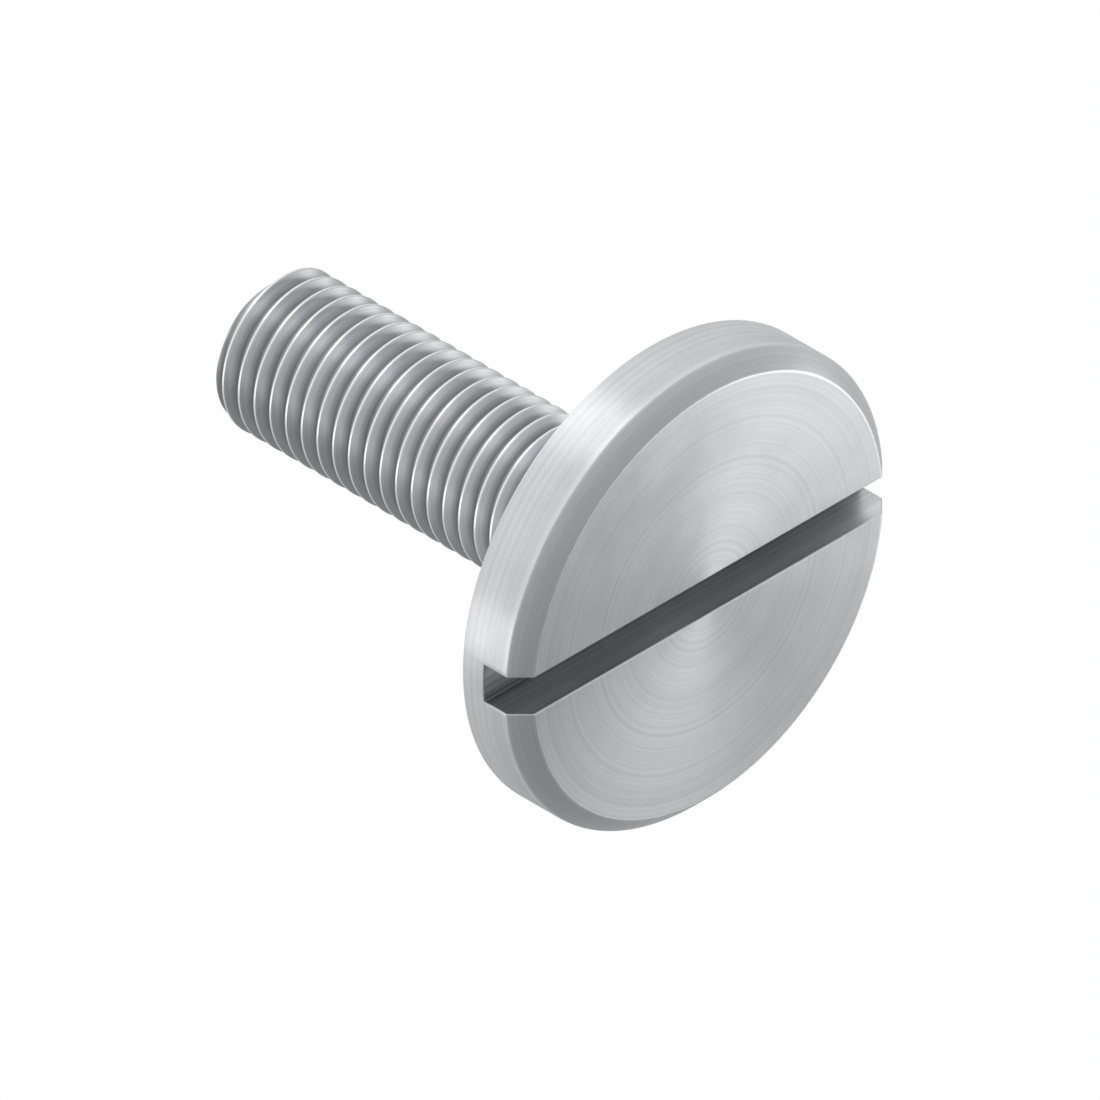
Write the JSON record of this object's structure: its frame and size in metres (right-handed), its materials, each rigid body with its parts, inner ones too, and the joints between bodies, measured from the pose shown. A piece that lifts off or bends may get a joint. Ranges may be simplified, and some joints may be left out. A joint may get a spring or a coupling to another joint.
{
  "type": "slotted pan head screw",
  "caption": "Machine screw with a wide flat chamfered head, a straight driver slot right across it and a fine right-hand thread on a plain cylindrical shank.",
  "frame": {"origin": "centre of the head's flat slotted face, on the screw's axis; the screw stands on this face", "axes": "+Z along the screw's axis from the head to the tip; the driver slot runs along Y; X lies across the slot"},
  "size_m": [0.012, 0.012, 0.0138],
  "materials": {
    "screw_steel": "bright turned steel"
  },
  "bodies": {
    "root": {"screw": "screw_steel"}
  },
  "joints": []
}
